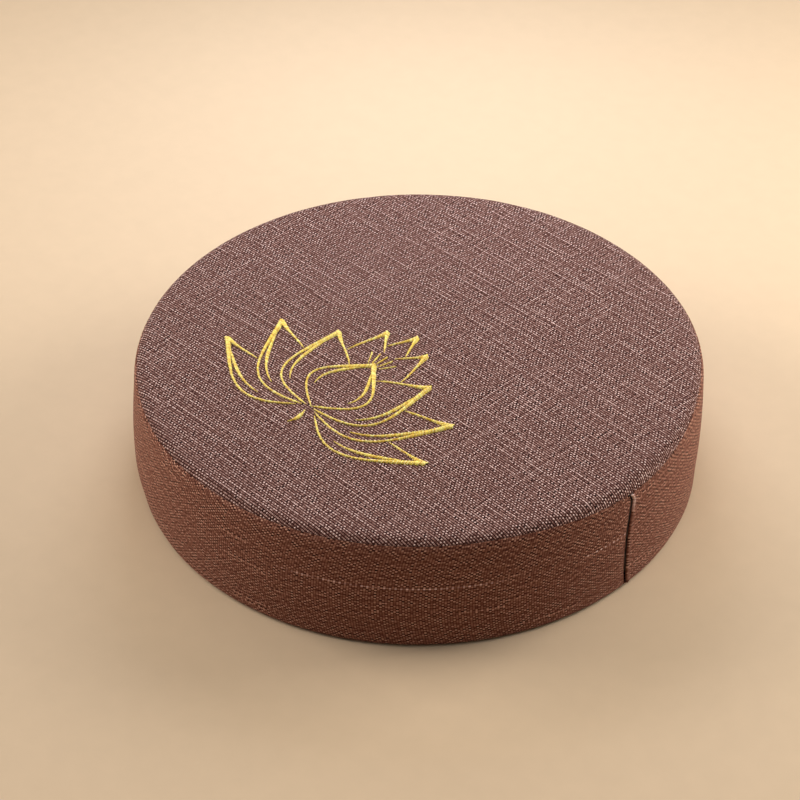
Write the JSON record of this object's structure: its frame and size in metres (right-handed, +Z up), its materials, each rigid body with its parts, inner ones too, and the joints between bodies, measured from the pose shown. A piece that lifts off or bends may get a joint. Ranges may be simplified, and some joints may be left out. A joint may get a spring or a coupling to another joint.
{
  "type": "zafu meditation cushion",
  "caption": "Firm round box-edged floor cushion in slub linen-look cloth, its top panel embroidered with a gold lotus, for sitting in meditation.",
  "frame": {"origin": "centre of the flat underside, on the surface that the cushion rests on", "axes": "+Z up through the top panel; +Y along the top panel's grain, the way the embroidered flower points; +X out through the upright join of the side band"},
  "size_m": [0.4, 0.4, 0.0953],
  "materials": {
    "cover_cloth": "matt slub linen-look plain weave in mauve brown",
    "body_filling": "plain matt filling, wholly covered",
    "gold_thread": "satin-stitched gold embroidery thread with a silky sheen"
  },
  "bodies": {
    "root": {"top_panel": "cover_cloth", "side_band": "cover_cloth", "bottom_panel": "cover_cloth", "cushion_body": "body_filling"}
  },
  "joints": []
}
